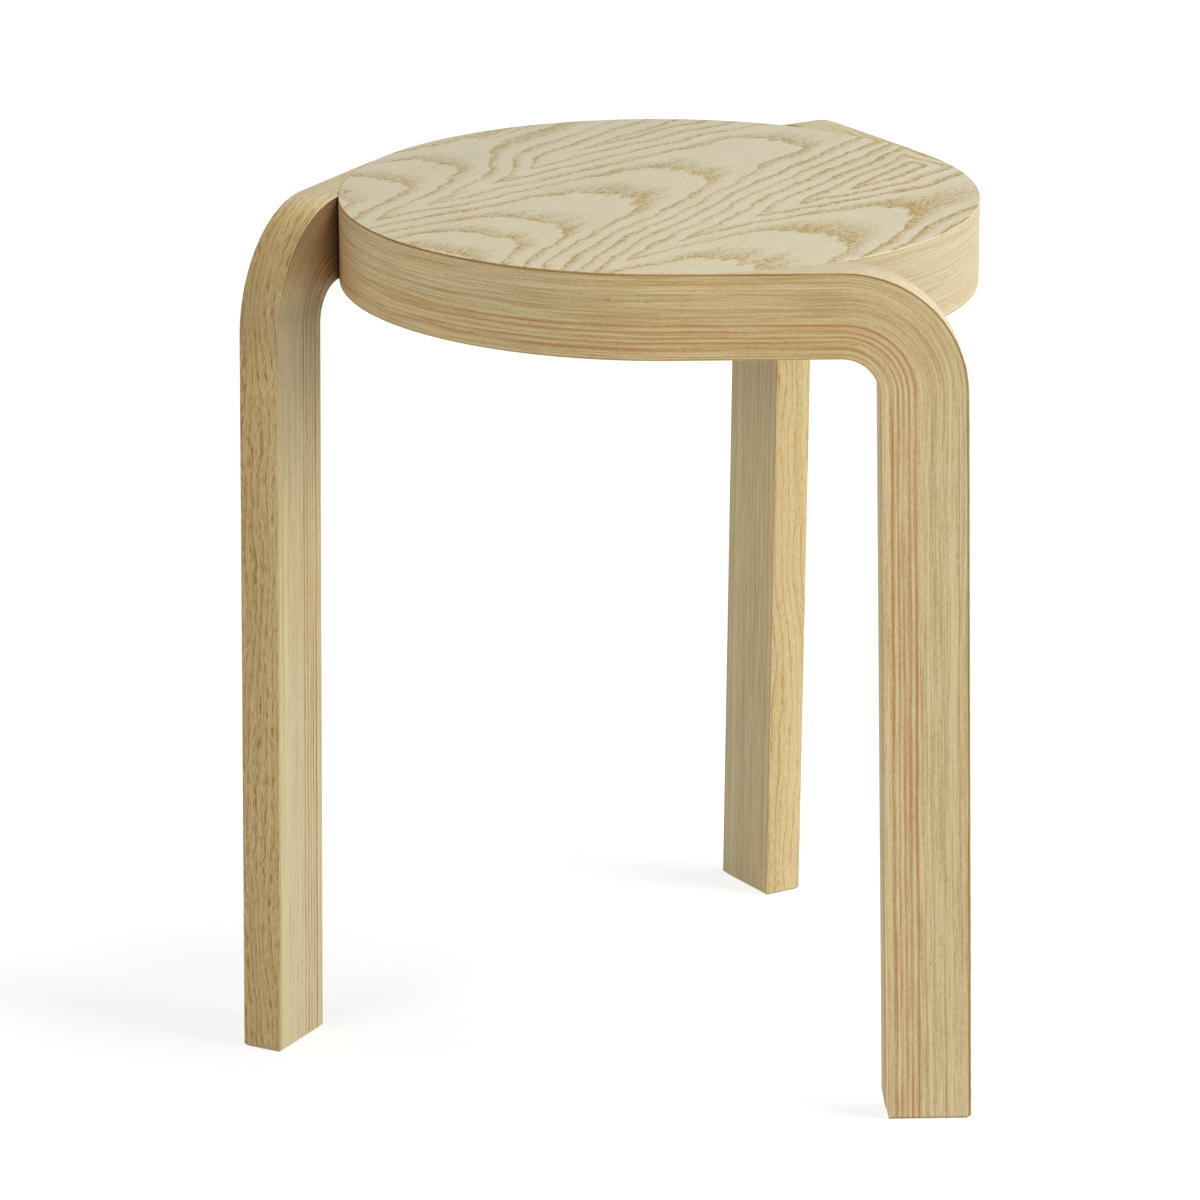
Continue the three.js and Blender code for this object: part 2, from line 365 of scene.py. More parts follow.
def strip_blank(lay, name, thickness):
    """The veneer over the leg alone, from a narrow tip beside the round sheet."""
    sizes = lay.sizes
    inside = lay.radius + sizes.sheet_seam
    tip_x = math.sqrt(inside**2 - (lay.radius - TIP_WIDTH) ** 2)
    middle = Vector(((tip_x + lay.turn_x) / 2, (lay.leg_inner_y - lay.radius) / 2, lay.top))
    deselect_objects()
    bpy.ops.mesh.primitive_plane_add(size=1, location=middle)
    blank = bpy.context.object
    blank.name = name
    blank.scale = (lay.turn_x - tip_x, lay.leg_inner_y + lay.radius, 1)
    bpy.ops.object.transform_apply()
    edit(blank)
    thicken_and_bend(lay, thickness)
    done_editing()
    deselect_objects()
    bpy.ops.mesh.primitive_cylinder_add(
        vertices=sizes.rim_sides,
        radius=inside,
        depth=THROUGH * thickness,
        location=(0, 0, lay.top),
    )
    subtract(blank, bpy.context.object)
    return blank


def subtract(piece, cutter):
    """Cuts one object's shape out of a piece, and removes that object."""
    pick(piece)
    bpy.ops.object.modifier_add(type="BOOLEAN")
    modifier = piece.modifiers[-1]
    modifier.operation = "DIFFERENCE"
    modifier.solver = "EXACT"
    modifier.object = cutter
    bpy.ops.object.modifier_apply(modifier=modifier.name)
    pick(cutter)
    bpy.ops.object.delete()


TONGUE_NEAR = 24 * MM
TONGUE_LENGTH = 108 * MM
TONGUE_WIDTH = 28 * MM
TONGUE_PLAY = 0.2 * MM


def cut_slots(lay, blank):
    """Cuts the halves of the two tongue slots that a ply holds."""
    for angle in (lay.joint_angle, lay.joint_angle - THIRD):
        middle = TONGUE_NEAR + TONGUE_LENGTH / 2
        deselect_objects()
        bpy.ops.mesh.primitive_cube_add(
            size=1,
            location=(middle * math.cos(angle), middle * math.sin(angle), lay.top),
            rotation=(0, 0, angle),
        )
        cutter = bpy.context.object
        cutter.scale = (
            TONGUE_LENGTH + 2 * TONGUE_PLAY,
            TONGUE_WIDTH + 2 * TONGUE_PLAY,
            THROUGH * lay.thickness,
        )
        subtract(blank, cutter)


def lay_grain(lay, piece, along_rim):
    """Stores each point's place in the grain, in mm, for the finishes."""
    data = piece.data
    values = []
    for vertex in data.vertices:
        values.extend(part / MM for part in lay.grain(vertex.co, along_rim))
    grain = data.attributes.new(name="grain", type="FLOAT_VECTOR", domain="POINT")
    grain.data.foreach_set("vector", values)


def cut_foot(lay, piece, bend):
    """Cuts a leg to the floor and sands the edges of its foot."""
    outer, inner = FOOT_CUTS[bend]
    chamfer = lay.sizes.foot_chamfer
    knee = lay.turn_z
    edit(piece)
    cut_off(Vector((0, 0, 0)), Vector((0, 0, -1)), below=knee)
    for (inwards, upwards), skin, way in ((outer, 0, 1), (inner, lay.thickness, -1)):
        low = Vector((lay.leg_x(skin + way * inwards * MM, 0), 0, 0))
        high = Vector((lay.leg_x(skin, upwards * MM), 0, upwards * MM))
        along = high - low
        cut_off(low, Vector((abs(along.z) * way, 0, -abs(along.x))).normalized(), below=knee)
    for side_y, way in ((-lay.radius, -1), (lay.leg_inner_y, 1)):
        cut_off(Vector((0, side_y, chamfer)), Vector((0, way, -1)).normalized(), below=knee)
    face_outwards()
    done_editing()


def soften(lay, piece, depth, across_places):
    """Sands the long edges of a face veneer where its skin meets the side faces."""

    def on_edge(a, b):
        places = [lay.grain(point, True) for point in (a, b)]
        if any(abs(place[2] - depth) > SLACK for place in places):
            return False
        return any(
            all(abs(place[1] - across) < SLACK for place in places) for across in across_places
        )

    edit(piece)
    select_edges(on_edge)
    bpy.ops.mesh.bevel(
        offset=lay.sizes.edge_softness,
        segments=BEVEL_SEGMENTS,
        affect="EDGES",
        clamp_overlap=True,
    )
    face_outwards()
    done_editing()


def copy_of(piece, name):
    pick(piece)
    bpy.ops.object.duplicate(linked=False)
    copy = bpy.context.object
    copy.name = name
    return copy


def set_round(piece, bend):
    """Turns a finished layer to its bend and sets it round the seat's axis."""
    pick(piece)
    piece.rotation_euler = (0, 0, (bend - 1) * THIRD)
    middle = (Vector(SHEET_LOW) + Vector(SHEET_HIGH)) / 2
    piece.location = (middle.x, middle.y, 0)
    bpy.ops.object.transform_apply()
    bpy.ops.object.shade_smooth_by_angle(angle=SMOOTH_BELOW)


def hand_over(piece, node, finish):
    """Puts a piece in its node's place, with its finish."""
    piece.data.materials.clear()
    piece.data.materials.append(finish)
    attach(piece, "root")
    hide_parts(node)


class Pattern:
    """One socket of a finish's nodes, which sums can be written with."""

    def __init__(self, finish, socket):
        self.finish = finish
        self.socket = socket

    def sum_of(self, operation, *values):
        return self.finish.node("ShaderNodeMath", {"operation": operation}, dict(enumerate(values)))

    def __add__(self, other):
        return self.sum_of("ADD", self, other)

    def __sub__(self, other):
        return self.sum_of("SUBTRACT", self, other)

    def __rsub__(self, other):
        return self.sum_of("SUBTRACT", other, self)

    def __mul__(self, other):
        return self.sum_of("MULTIPLY", self, other)

    def __truediv__(self, other):
        return self.sum_of("DIVIDE", self, other)

    def __rtruediv__(self, other):
        return self.sum_of("DIVIDE", other, self)

    __radd__ = __add__
    __rmul__ = __mul__

    def __pow__(self, other):
        return self.sum_of("POWER", self, other)

    def __neg__(self):
        return self * -1

    def root(self):
        return self.sum_of("SQRT", self)

    def fraction(self):
        return self.sum_of("FRACT", self)

    def most(self, other):
        return self.sum_of("MAXIMUM", self, other)

    def rise(self, start, end):
        """0 before start and 1 after end, with a soft step between."""
        return self.finish.node(
            "ShaderNodeMapRange",
            {"interpolation_type": "SMOOTHSTEP"},
            {"Value": self, "From Min": start, "From Max": end},
        )


LACQUER_SHINE = 0.3


class Finish:
    """Nodes of a material or of the world, built up from plain expressions."""

    def __init__(self, owner, shader="Principled BSDF"):
        owner.use_nodes = True
        self.owner = owner
        self.tree = owner.node_tree
        self.shader = self.tree.nodes[shader]

    def shade(self, inputs):
        """Feeds the shader, and gives the material or world."""
        for name, value in inputs.items():
            self.feed(self.shader.inputs[name], value)
        return self.owner

    def lacquer(self, tone, roughness, height, relief):
        """Feeds the shader of a wood whose grain is raised by a few hundredths of a mm."""
        bump = self.node(
            "ShaderNodeBump",
            inputs={"Height": height, "Distance": relief, "Strength": 1.0},
            output="Normal",
        )
        return self.shade(
            {
                "Base Color": tone,
                "Roughness": roughness,
                "Normal": bump,
                "Specular IOR Level": LACQUER_SHINE,
            }
        )

    def feed(self, socket, value):
        if isinstance(value, Pattern):
            self.tree.links.new(value.socket, socket)
        elif socket.type == "RGBA" and len(value) == 3:
            socket.default_value = (*value, 1)
        else:
            socket.default_value = value

    def node(self, kind, settings=None, inputs=None, output=0):
        """A new node of a kind, with its settings, then what feeds its sockets."""
        node = self.tree.nodes.new(kind)
        for name, value in (settings or {}).items():
            if name == "stops":
                self.set_stops(node.color_ramp, value)
            else:
                setattr(node, name, value)
        for name, value in (inputs or {}).items():
            self.feed(node.inputs[name], value)
        return Pattern(self, node.outputs[output])

    @staticmethod
    def set_stops(ramp, stops):
        ramp.interpolation = "LINEAR"
        while len(ramp.elements) > 1:
            ramp.elements.remove(ramp.elements[-1])
        for index, (position, value) in enumerate(stops):
            stop = ramp.elements[0] if index == 0 else ramp.elements.new(position)
            stop.position = position
            stop.color = (value, value, value, 1)

    def places(self):
        """The grain's three distances in mm: along, across and below the outer skin."""
        read = self.node("ShaderNodeAttribute", {"attribute_name": "grain"}, output="Vector")
        return self.split(read)

    def seat_places(self):
        """Distances in mm from the seat's axis and up from the top of the seat."""
        read = self.node("ShaderNodeTexCoord", output="Object")
        x, y, z = self.split(read)
        low, high = (Vector(corner) / MM for corner in (SHEET_LOW, SHEET_HIGH))
        middle = (low + high) / 2
        return x / MM - middle.x, y / MM - middle.y, z / MM - high.z

    def split(self, vector):
        parts = self.node("ShaderNodeSeparateXYZ", inputs={0: vector}).socket.node.outputs
        return [Pattern(self, part) for part in parts]

    def join(self, x, y, z):
        return self.node("ShaderNodeCombineXYZ", inputs={"X": x, "Y": y, "Z": z})

    def noise(self, x, y, z, detail=2.0):
        """Soft noise from about 0 to 1, one lump to each unit."""
        return self.node(
            "ShaderNodeTexNoise",
            {"noise_dimensions": "3D"},
            {"Vector": self.join(x, y, z), "Scale": 1.0, "Detail": detail},
            output="Fac",
        )

    def mix(self, factor, first, second):
        """A colour between two, by the Mix node's colour sockets, 6 and 7, and its output 2."""
        settings = {"data_type": "RGBA", "clamp_factor": True}
        sockets = {0: factor, 6: first, 7: second}
        return self.node("ShaderNodeMix", settings, sockets, output=2)

    def scaled(self, tone, factor):
        """A colour times a factor."""
        return self.node("ShaderNodeVectorMath", {"operation": "SCALE"}, {0: tone, "Scale": factor})


# Lines that run along the edges of the plies: mm below the outer skin, half width, strength
RED_LINES = (
    (26.2, 0.5, 1.0), (29.3, 0.5, 0.8), (32.3, 0.45, 0.7), (34.8, 0.45, 0.8), (37.7, 0.6, 1.0),
    (41.6, 0.25, 0.6),
)
TAN_LINES = (
    (5.2, 0.35, 0.6), (12.8, 0.3, 0.35), (15.6, 0.3, 0.3), (18.1, 0.32, 0.65), (22.4, 0.3, 0.4),
)
PALE_LINES = ((7.7, 1.0, 0.35), (9.5, 0.3, 0.8), (20.4, 0.5, 0.3))
RED_HALOES = tuple((place, 1.8 * half, strength) for place, half, strength in RED_LINES[:5])
# Depths that those lines lie between in the pale plies and in the warm ones
PALE_DEPTHS = (0.0, 25.0)
WARM_DEPTHS = (24.0, 44.0)
# A soft line's profile: shares of its half width, and of its strength there
LINE_PROFILE = ((-1.7, 0), (-0.5, 1), (0.5, 1), (1.7, 0))
# How dark the glue line is on top of each bend's rim
GLUE_DARKNESS = {1: 1.0, 2: 0.2, 3: 0.6}
# Painted shade: how much darker each bend's outer veneer is where it turns down
TURN_SHADE = {1: 0.0, 2: 0.0, 3: 0.19}
# Painted highlight: how much paler each bend's outer veneer is where it turns down
TURN_HIGHLIGHT = {1: 0.55, 2: 0.0, 3: 0.0}
# How red each bend's lines are
REDNESS = {1: 1.0, 2: 0.12, 3: 0.8}
# Cut edges of each bend's face veneers: how far they go from dark gold to pale yellow, a painted
# highlight
VENEER_HIGHLIGHT = {1: 0.0, 2: 0.15, 3: 0.8}
# Painted sheen: how much paler the top of each bend's outer veneer is than its leg
TOP_SHEEN = {1: 0.75, 2: 0.6, 3: 0.5}
# How far down, in mm, that painted sheen reaches
TOP_REACH = {1: -75.0, 2: -75.0, 3: -5.0}
# Tints of each bend's ply edges along its leg and along its rim, and how strong they are; the
# second bend's rim tint is a painted sheen
EDGE_TINTS = {
    1: (("edge_tan", 0.0), ("edge_tan", 0.2)),
    2: (("leg_pale", 0.5), ("rim_sheen", 0.75)),
    3: (("leg_pale", 0.95), ("leg_pale", 0.36)),
}
# How much darker the front of each bend's rim is
FRONT_DARKNESS = {1: 0.24, 2: 0.0, 3: 0.0}
# Painted shade and light on each leg's side: how much darker its upper part is, under the seat, and
# how much lighter its foot is than that
LEG_SHADE = {1: (0.0, 0.0), 2: (0.0, 0.0), 3: (0.32, 0.55)}
# How much stronger the fine lines are towards the far end of each bend's rim
RIM_CONTRAST = {1: 1.1, 2: 0.0, 3: 0.0}
# Painted shade: how dark each leg's side is beside the seat, and the far end of each bend's rim
NOTCH_SHADE = {1: (0.2, 0.35), 2: (0.2, 0.1), 3: (0.6, 0.1)}

# Stretches that looks change over, in mm, each from where a change starts to where it ends. Along
# a bend: 0 is where the rim leaves its circle, the leg turns down from 81 and the rim ends at -254
CREASE_SHADE = (98.0, 79.0)
CREASE_LINE = (83.2, 81.6)
PAST_CREASE = (79.0, 82.0)
FRONT_COMES = (-75.0, -15.0)
FRONT_GOES = (125.0, 70.0)
STRONG_THREADS = (-130.0, -60.0)
FAR_RIM = (-60.0, -140.0)
SHADED_RIM_END = (-180.0, -236.0)
RED_COMES = (-230.0, -60.0)
LEG_DARKENS = (180.0, 240.0)
LEG_LIGHTENS = (230.0, 420.0)
# Across a bend, from its outer side face to the one towards the seat
SEAT_SIDE = (20.9, 21.3)
SEAT_ARRIS = (21.25, 21.55)
# Below the outer skin, and from the middle of the lay-up out to both skins
GLUE_DEPTHS = (1.5, 1.1)
HALF_THICKNESS = 21.75
CUT_EDGE = (21.5, 21.3)
# Heights above the top of the seat
RIM_HEIGHTS = (-60.0, -44.0)
SHADED_HEIGHTS = (-46.0, -16.0)
TURN_COMES = (-80.0, -50.0)
TURN_GOES = (-3.0, -14.0)
FLAT_TOP = -0.5


def lines_at(finish, lines, depth, depths):
    """Soft lines between two depths."""
    start, end = depths
    stops = [(0.0, 0.0)]
    for place, half, strength in lines:
        for offset, share in LINE_PROFILE:
            stops.append(((place + offset * half - start) / (end - start), share * strength))
    return finish.node(
        "ShaderNodeValToRGB", {"stops": stops}, {"Fac": (depth - start) / (end - start)}
    )


def edge_finish(colours, bend, kind):
    """Edges of the plies: fine lines along the rim and legs, redder towards the inner skin."""
    warm = kind == "warm"
    finish = Finish(bpy.data.materials.new(f"{kind} ply edges {bend}"))
    along, across, depth = finish.places()
    height = finish.seat_places()[2]
    side = across * 0.35 + 11.3 * bend
    glue = depth.rise(*GLUE_DEPTHS)
    depth = depth + (finish.noise(along * 0.011, side, depth * 0.04) - 0.5) * 1.8
    broad = finish.noise(along * 0.004, side, depth * 0.4, 2.0)
    lines = finish.noise(along * 0.010, side, depth * 1.5, 2.0)
    threads = finish.noise(along * 0.035, side + 4.0, depth * 2.3, 1.0)
    grit = finish.noise(along * 0.45, side, depth * 1.6, 1.0)
    fade = finish.noise(along * 0.016, side, depth * 0.4, 2.0).rise(0.3, 0.6)

    # How far each place goes from the pale tone to the darker one
    on_rim = height.rise(*RIM_HEIGHTS)
    far = on_rim * along.rise(*FAR_RIM) * RIM_CONTRAST[bend]
    near = on_rim * along.rise(*STRONG_THREADS) * 0.6
    dark = (broad - 0.5) * 0.5 + (lines - 0.5) * (far + 1.8)
    dark = dark + (threads - 0.5) * (near + far + 1.9)
    dark = dark + (grit - 0.5) * 1.1 + (0.16 if warm else 0.4)
    front = along.rise(*FRONT_COMES) * along.rise(*FRONT_GOES)
    dark = dark + front * on_rim * FRONT_DARKNESS[bend]
    # Painted shade under the seat, fading to painted light at the foot
    upper, lower = LEG_SHADE[bend]
    dark = dark + along.rise(*LEG_DARKENS) * upper - along.rise(*LEG_LIGHTENS) * lower
    if warm:
        dark = dark + lines_at(finish, RED_HALOES, depth, WARM_DEPTHS) * 0.45
    else:
        dark = dark + lines_at(finish, TAN_LINES, depth, PALE_DEPTHS) * 0.5
        dark = dark - lines_at(finish, PALE_LINES, depth, PALE_DEPTHS) * (fade * 0.6 + 0.4)
    pale = colours.edge_pale
    shade = colours.edge_warm if warm else colours.edge_tan
    for there, (tint, strength) in zip((1 - on_rim, on_rim), EDGE_TINTS[bend]):
        pale = finish.mix(there * strength, pale, getattr(colours, tint))
        shade = finish.mix(there * strength * 0.5, shade, getattr(colours, tint))
    tone = finish.mix(dark, pale, shade)

    if warm:
        broken = (threads - 0.5) * 1.2 + grit + 0.5
        red = lines_at(finish, RED_LINES, depth, WARM_DEPTHS) * (fade * 0.55 + 0.45)
        red = red * (along.rise(*RED_COMES) * 0.7 + 0.3) * REDNESS[bend]
        tone = finish.mix(red * broken, tone, colours.edge_red)
    fleck = finish.noise(along * 0.11, side + 3.0, depth * 1.4, 1.0).rise(0.76, 0.8)
    tone = finish.mix(fleck * 0.7, tone, colours.edge_fleck)
    if not warm:
        glue = glue * (threads * 1.2 + 0.2) * GLUE_DARKNESS[bend]
        tone = finish.mix(glue, tone, colours.glue)
    # The leg's side towards the seat meets the next bend's rim in a crease. Painted shade darkens
    # the side under the seat and the rim's far end, and more of it darkens the crease
    beside = across.rise(*SEAT_SIDE)
    on_leg, on_end = NOTCH_SHADE[bend]
    notch_shade = height.rise(*SHADED_HEIGHTS) * beside * on_leg + along.rise(*SHADED_RIM_END) * on_end
    tone = finish.mix(notch_shade, tone, colours.notch_shade)
    # Painted shade in the crease, with a darker painted line at the joint itself
    crease = along.rise(*CREASE_SHADE) * 0.45 + along.rise(*CREASE_LINE) * 0.55
    tone = finish.mix(crease * beside, tone, colours.crease)
    grain = (lines - 0.5) * 0.6 + (threads - 0.5) * 0.6
    return finish.lacquer(tone, grain * 0.2 + 0.55, -grain, 0.08 * MM)


# How the two face veneers of a bend differ: a shift of their noise, the grain's slant, a ring's
# width in mm and its pale share, pores to a mm of fibre, darkness of the whole, and colours
VENEER_LOOKS = {
    "outer": {
        "shift": 0, "slant": -0.02, "ring": 3.9, "pale_share": 0.4, "pores": 0.15,
        "darkness": 0.2, "pale": "face_pale", "fleck": "face_fleck",
    },
    "inner": {
        "shift": 20, "slant": 0.03, "ring": 4.6, "pale_share": 0.78, "pores": 0.24,
        "darkness": 0.05, "pale": "face_cream", "fleck": "face_gold",
    },
}


def face_finish(colours, bend, side):
    """Straight-grained face veneer: rings as wavering lines, full of short dark pores."""
    finish = Finish(bpy.data.materials.new(f"{side} veneer {bend}"))
    look = VENEER_LOOKS[side]
    along, across, depth = finish.places()
    height = finish.seat_places()[2]
    seed = 5.7 * bend + look["shift"]
    drift = (finish.noise(along * 0.008, across * 0.03, seed, 1.0) - 0.5) * 22
    drift = drift + (finish.noise(along * 0.035, across * 0.12, seed + 2.0, 1.0) - 0.5) * 5
    place = across + drift + along * look["slant"]
    ring = (place / look["ring"]).fraction()
    start = look["pale_share"]
    line = ((ring - start) / (1 - start)).most(1 - ring / 0.08).most(0.0)
    broad = finish.noise(along * 0.003, place * 0.15, seed, 1.0)
    pores = finish.noise(along * look["pores"], place * 1.9, seed, 1.0)
    grit = finish.noise(along * 0.4, place * 1.6, seed + 9.0, 1.0)
    fibres = finish.noise(along * 0.02, place * 1.8, seed, 2.0)
    dark = (broad - 0.5) * 0.8 + (fibres - 0.5) * 1.4 + (grit - 0.5) * 1.4
    dark = dark + line * 0.35 + look["darkness"]
    tone = finish.mix(dark, getattr(colours, look["pale"]), colours.face_line)
    if side == "outer":
        turn = height.rise(*TURN_COMES) * height.rise(*TURN_GOES)
        # Painted shade where the veneer turns down
        tone = finish.scaled(tone, 1 - turn * TURN_SHADE[bend])
        # Painted highlight where the veneer turns down
        tone = finish.mix(turn * TURN_HIGHLIGHT[bend], tone, colours.turn_highlight)
        # Painted sheen on the veneer's top, broken up by its fibres
        high = height.rise(TOP_REACH[bend], FLAT_TOP) * TOP_SHEEN[bend]
        high = high * (2 - fibres * 2)
        tone = finish.mix(high, tone, colours.top_sheen)
        dash = pores.rise(0.47, 0.6) * (line * 0.6 + 0.36) * (1 - high * 0.6)
    else:
        broken = finish.noise(along * 0.03, place * 0.4, seed + 4.0, 1.0).rise(0.35, 0.6)
        dash = line * (pores.rise(0.3, 0.6) * 0.45 + 0.1) * (broken * 0.7 + 0.3)
        dash = (dash + pores.rise(0.52, 0.66) * 0.25) * 1.3
    tone = finish.mix(dash, tone, getattr(colours, look["fleck"]))

    # The veneer's cut edge and its arris beside the seat differ from its skin, and carry a painted
    # highlight
    paleness = VENEER_HIGHLIGHT[bend]
    edge = finish.mix(paleness, colours.veneer_edge, colours.veneer_glint)
    cut = (depth - HALF_THICKNESS).most(HALF_THICKNESS - depth).rise(*CUT_EDGE)
    arris = across.rise(*SEAT_ARRIS) * along.rise(*PAST_CREASE)
    arris = arris * (paleness if side == "outer" else 0.8)
    tone = finish.mix(cut.most(arris), tone, edge)
    relief = (fibres - 0.5) * 0.5 - dash * 0.5
    return finish.lacquer(tone, (fibres - 0.5) * 0.15 + 0.5, relief, 0.1 * MM)


def hinge(value, softness):
    """0 well below nothing and the value itself well above it."""
    return ((value * value + softness * softness).root() + value) * 0.5


def smooth_greatest(first, second, softness):
    return hinge(first - second, softness) + second


# The flame figure is the contour map of three ridges that lie along the grain, and of a wall across
# their far end. For each ridge: where its axis starts, its level at some distances along the axis,
# its flat half widths to the left and right of it (the same all along, or at some distances), and
# its flanks' mm to a level on either side. All lengths are in mm.
GRAIN_ANGLE = math.radians(51)
FLAME_RIDGES = (
    {
        "start": (-122.4, -132.6),
        "crest": (
            (0, 6), (32, 5), (63, 4), (102, 3), (175, 2), (235, 1), (265, 0.5), (302, 0.4),
            (316, 0), (345, -0.5),
        ),
        "left": 30.5,
        "right": ((102, 25), (184, 19.5), (265, 16.5)),
        "flank": (11.0, 9.2),
    },
    {
        "start": (-149.6, 6.8),
        "crest": ((-60, 4), (-7, 3), (37, 2), (82, 1), (109, 0.5), (130, 0.3), (300, 0.25)),
        "left": 30.5,
        "right": ((72, 10.5), (112, -4.5)),
        "flank": (11.0, 11.5),
    },
    {
        "start": (20.4, -156.4),
        "crest": ((-30, 0), (0, -0.5), (35, -1), (101, -2), (172, -3), (235, -3.25), (300, -3.9)),
        "left": ((100, 31), (148, 21), (200, 12.5)),
        "right": ((100, 25.5), (137, 20.5)),
        "flank": (9.2, 9.2),
    },
)
# The wall: where it starts along the first ridge's axis and to the right of it, its level there,
# its mm to a level, and how far to the right it runs
FLAME_WALL = {"start": (322.0, 66.0), "level": -5.0, "pitch": 7.5, "reach": (52.0, 92.0)}
WALL_TILT = 0.25
# How softly and how steeply the wall falls away at its two ends
WALL_ENDS = ((4.0, 0.22), (6.0, 0.1))
FLANK_SOFTNESS = 9.0
# How softly two ridges, and the ridges and the wall, run into each other
RIDGE_BLEND = 0.12
WALL_BLEND = 0.3


def read_off(finish, place, points):
    """A value that runs straight from point to point along an axis."""
    if isinstance(points, float):
        return points
    first, last = points[0][0], points[-1][0]
    least = min(value for _, value in points)
    reach = max(value for _, value in points) - least
    stops = [((at - first) / (last - first), (value - least) / reach) for at, value in points]
    ramp = finish.node(
        "ShaderNodeValToRGB", {"stops": stops}, {"Fac": (place - first) / (last - first)}
    )
    return ramp * reach + least


def along_ridge(ridge, x, y):
    """Distances along a ridge's axis and to the right of it."""
    x_in, y_in = x - ridge["start"][0], y - ridge["start"][1]
    along = x_in * math.cos(GRAIN_ANGLE) + y_in * math.sin(GRAIN_ANGLE)
    return along, x_in * math.sin(GRAIN_ANGLE) - y_in * math.cos(GRAIN_ANGLE)


def flame_level(finish, x, y):
    """Height of the contour map at a place in mm about the seat's axis."""
    level = None
    for ridge in FLAME_RIDGES:
        along, aside = along_ridge(ridge, x, y)
        height = read_off(finish, along, ridge["crest"])
        left = read_off(finish, along, ridge["left"])
        right = read_off(finish, along, ridge["right"])
        height = height - hinge(aside - right, FLANK_SOFTNESS) / ridge["flank"][1]
        height = height - hinge(-aside - left, FLANK_SOFTNESS) / ridge["flank"][0]
        level = height if level is None else smooth_greatest(level, height, RIDGE_BLEND)
    along, aside = along_ridge(FLAME_RIDGES[0], x, y)
    (out, middle), (near, far) = FLAME_WALL["start"], FLAME_WALL["reach"]
    wall = (along + (aside - middle) * WALL_TILT - out) / FLAME_WALL["pitch"] + FLAME_WALL["level"]
    for past, (softness, slope) in zip((near - aside, aside - far), WALL_ENDS):
        wall = wall - hinge(past, softness) * slope
    return smooth_greatest(level, wall, WALL_BLEND)


# Stretches that the sheet's looks change over, in mm, along X and below its top
RICH_FIGURE = (40.0, 150.0)
GOLDEN_EDGE = (105.0, 60.0)
DARKER_LEFT = (-10.0, -130.0)
CUT_STARTS = (-0.02, -0.14)
SPECKS_START = (-0.3, -0.42)
PALE_LOWER = 0.16  # how much lower the pale edge starts than the golden one


def sheet_finish(colours):
    """Flat-sliced sheet over the seat, with its flame figure and pores."""
    finish = Finish(bpy.data.materials.new("flame-figured ash sheet"))
    x, y, z = finish.seat_places()
    up = x * math.cos(GRAIN_ANGLE) + y * math.sin(GRAIN_ANGLE)
    out = x * math.sin(GRAIN_ANGLE) - y * math.cos(GRAIN_ANGLE)

    def bent(seed):
        wide = finish.noise(x * 0.014, y * 0.014, seed, 0.0) - 0.5
        fine = finish.noise(x * 0.05, y * 0.05, seed + 5.0, 1.0) - 0.5
        return wide * 14.0 + fine * 6.5

    grit = finish.noise(up * 0.62, out * 1.15, 3.0, 1.0) - 0.5
    coarse = finish.noise(up * 0.3, out * 0.62, 8.0, 1.0) - 0.5
    streaks = finish.noise(up * 0.012, out * 0.16, 61.0, 1.0) - 0.5
    fibres = finish.noise(up * 0.06, out * 1.3, 14.0, 3.0) - 0.5
    cloud = finish.noise(up * 0.01, out * 0.03, 30.0, 1.0) - 0.5
    specks = finish.noise(up * 0.2, out * 0.9, 51.0, 1.0).rise(0.4, 0.6)
    pores = finish.noise(up * 0.42, out * 1.9, 57.0, 0.0).rise(0.4, 0.6)

    # Each band of the figure is sharp on one side, and wider and darker on the right
    level = flame_level(finish, x + bent(1.5), y + bent(21.5)) + grit * 0.18 + streaks * 0.32
    part = level.fraction()
    rich = x.rise(*RICH_FIGURE)
    start = 0.5 - rich * 0.1
    band = ((part - start) / (1 - start)).most(1 - part / 0.04).most(0.0) ** 1.25
    strength = finish.noise(up * 0.016, out * 0.1, 40.0, 1.0) * 1.5 - 0.02 + rich * 0.45
    dark = band * (specks * 0.95 + pores * 0.85 + coarse * 0.6 + 0.05) * strength
    dark = dark + fibres * 1.2 + grit * 0.7 + cloud * 0.3 + 0.07
    tone = finish.mix(dark, colours.sheet_pale, colours.sheet_line)
    tone = finish.scaled(tone, x * -0.0005 + y * 0.00025 + 1.05)

    # The sheet's own cut edge is golden on the left, with dark specks that thicken towards the
    # left, and pale on the right, a painted highlight
    gold = x.rise(*GOLDEN_EDGE)
    cut = (z - gold * PALE_LOWER + PALE_LOWER).rise(*CUT_STARTS)
    edge = finish.mix(gold * 0.9, colours.veneer_glint, colours.veneer_edge)
    edge_specks = cloud * 4 + coarse * 4 + grit * 3 + x.rise(*DARKER_LEFT) * 0.6 + 0.05
    edge_specks = edge_specks * z.rise(*SPECKS_START) * gold
    edge = finish.mix(edge_specks, edge, colours.sheet_edge)
    tone = finish.mix(cut, tone, edge)
    return finish.lacquer(tone, dark * 0.08 + 0.5, grit * 0.3 - dark * 0.5, 0.06 * MM)


TONGUE_LAYER = 0.8  # mm, a pale and a darker layer of a tongue's plywood


def tongue_finish(colours):
    """Birch plywood: thin layers that show at the edges, with faint fibres."""
    finish = Finish(bpy.data.materials.new("birch tongue"))
    x, y, z = finish.seat_places()
    waver = (finish.noise(x * 0.05, y * 0.05, 2.0) - 0.5) * 0.2
    layer = ((z + waver) / TONGUE_LAYER).fraction()
    fibres = finish.noise(x * 0.5, y * 0.5, z * 3.0, 3.0) - 0.5
    dark = layer.rise(0.35, 0.5) * 0.6 + fibres * 1.6
    tone = finish.mix(dark, colours.tongue, colours.tongue_line)
    return finish.lacquer(tone, fibres * 0.2 + 0.7, fibres, 0.05 * MM)


